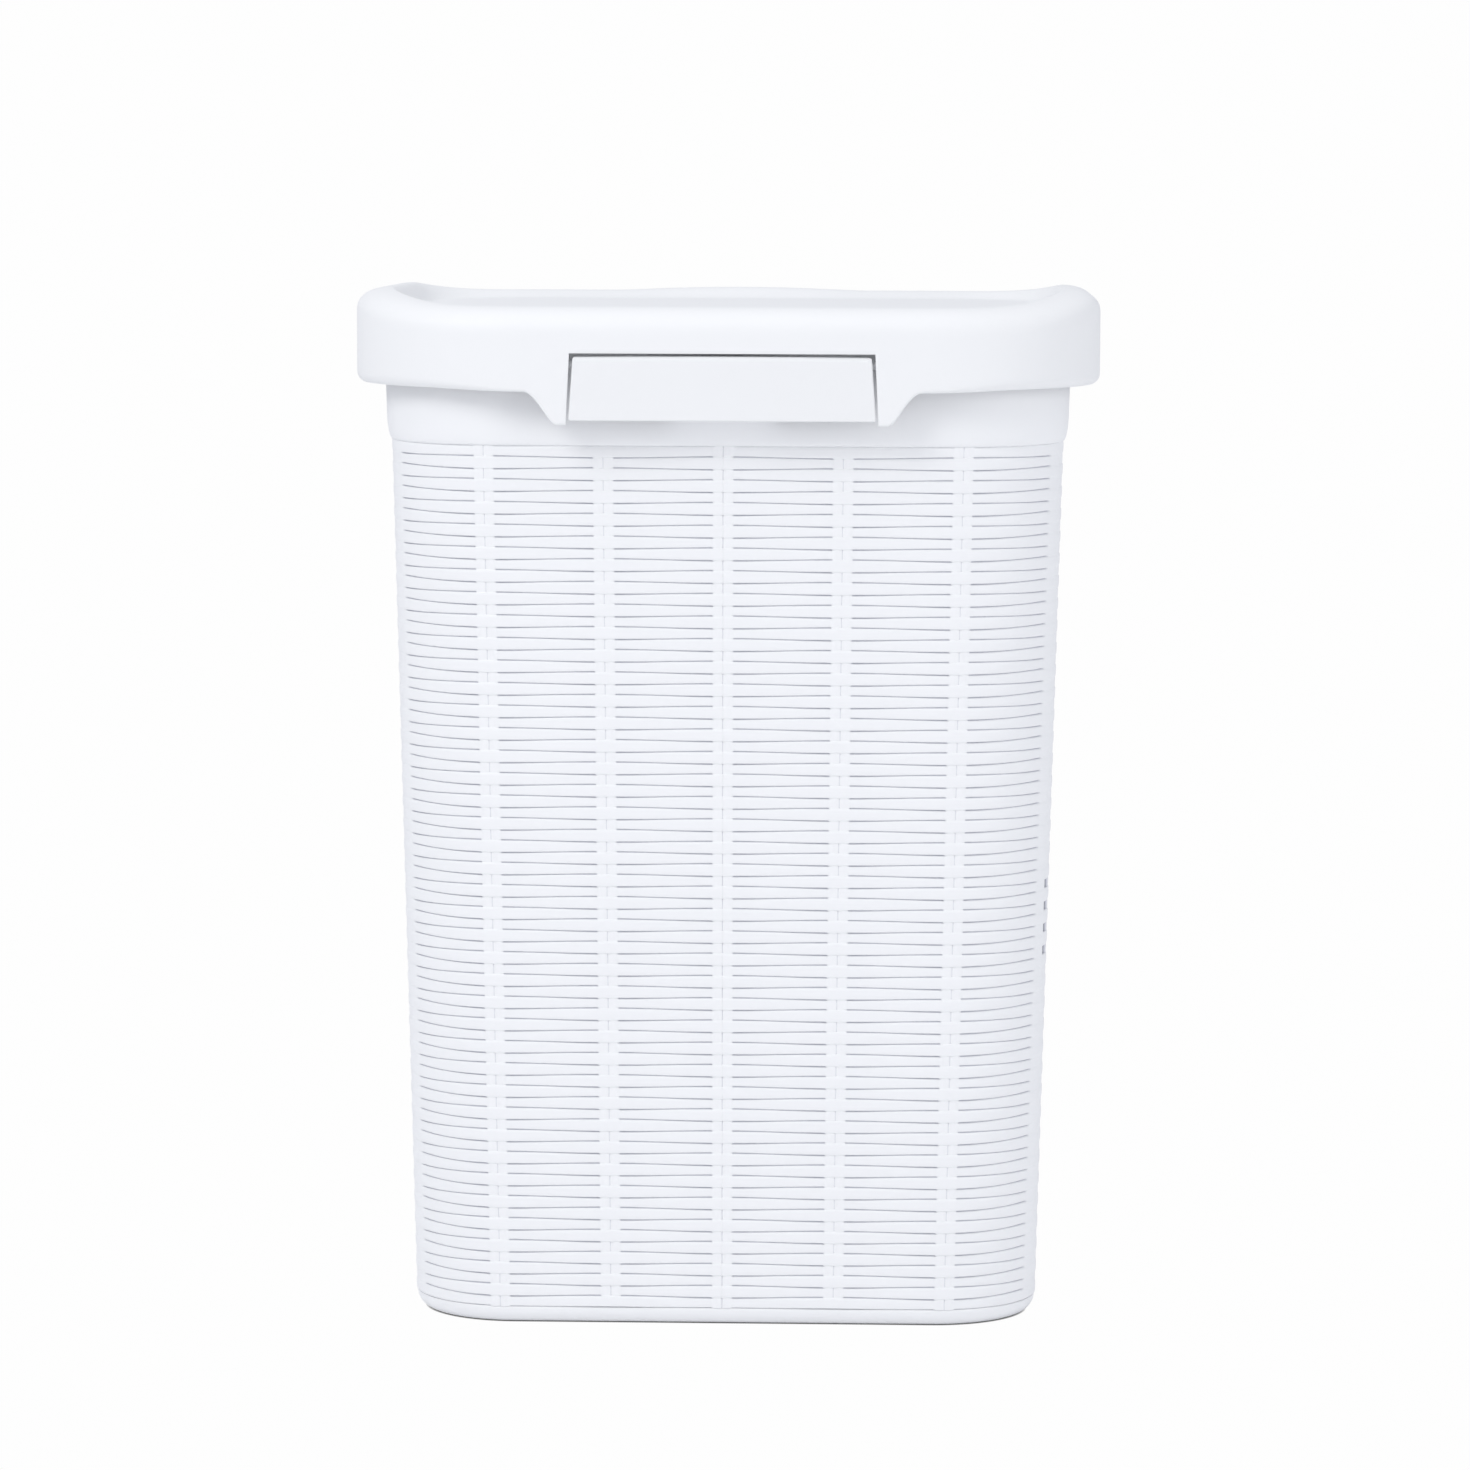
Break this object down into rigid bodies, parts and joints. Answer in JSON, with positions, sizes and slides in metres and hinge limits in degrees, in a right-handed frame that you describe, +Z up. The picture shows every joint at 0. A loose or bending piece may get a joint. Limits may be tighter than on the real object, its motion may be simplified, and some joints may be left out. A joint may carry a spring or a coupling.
{
  "type": "laundry hamper with lid",
  "caption": "Tall tapered plastic laundry hamper with a basket-weave wall, a rear-hinged dished lid and a swinging front latch.",
  "frame": {"origin": "centre of the foot, on the surface the hamper stands on", "axes": "+Z up, -Y towards the front with the latch, +X to the right seen from the front"},
  "size_m": [0.4346, 0.3586, 0.598],
  "materials": {
    "tub_plastic": "white moulded polypropylene, satin",
    "lid_plastic": "white moulded polypropylene, fine satin",
    "latch_plastic": "white moulded polypropylene, fine satin",
    "pin_plastic": "white moulded acetal, smooth"
  },
  "bodies": {
    "tub": {"floor": "tub_plastic", "foot_band": "tub_plastic", "wall_front": "tub_plastic", "wall_back": "tub_plastic", "wall_left": "tub_plastic", "wall_right": "tub_plastic", "corner_front_left": "tub_plastic", "corner_front_right": "tub_plastic", "corner_back_left": "tub_plastic", "corner_back_right": "tub_plastic", "neck_band": "tub_plastic", "tub_rim": "tub_plastic", "catch_bead": "tub_plastic", "hinge_bracket_left": "tub_plastic", "hinge_bracket_right": "tub_plastic", "hinge_pin": "pin_plastic"},
    "lid": {"lid_panel": "lid_plastic", "lid_rim": "lid_plastic", "skirt_front": "lid_plastic", "skirt_back": "lid_plastic", "skirt_left": "lid_plastic", "skirt_right": "lid_plastic", "skirt_front_left": "lid_plastic", "skirt_front_right": "lid_plastic", "skirt_back_left": "lid_plastic", "skirt_back_right": "lid_plastic", "seat_rib": "lid_plastic", "lid_knuckle": "lid_plastic", "latch_lug_left": "lid_plastic", "latch_lug_right": "lid_plastic"},
    "latch": {"latch_plate": "latch_plastic", "latch_catch": "latch_plastic", "latch_pivot_left": "latch_plastic", "latch_pivot_right": "latch_plastic"}
  },
  "joints": [
    {"name": "lid_hinge", "type": "hinge", "parent": "tub", "child": "lid", "pos_m": [0, 0.1803, 0.556], "axis": [-1, 0, 0], "range_deg": [0, 100]},
    {"name": "latch_swing", "type": "hinge", "parent": "lid", "child": "latch", "pos_m": [0, -0.1647, 0.5625], "axis": [-1, 0, 0], "range_deg": [0, 75]}
  ]
}
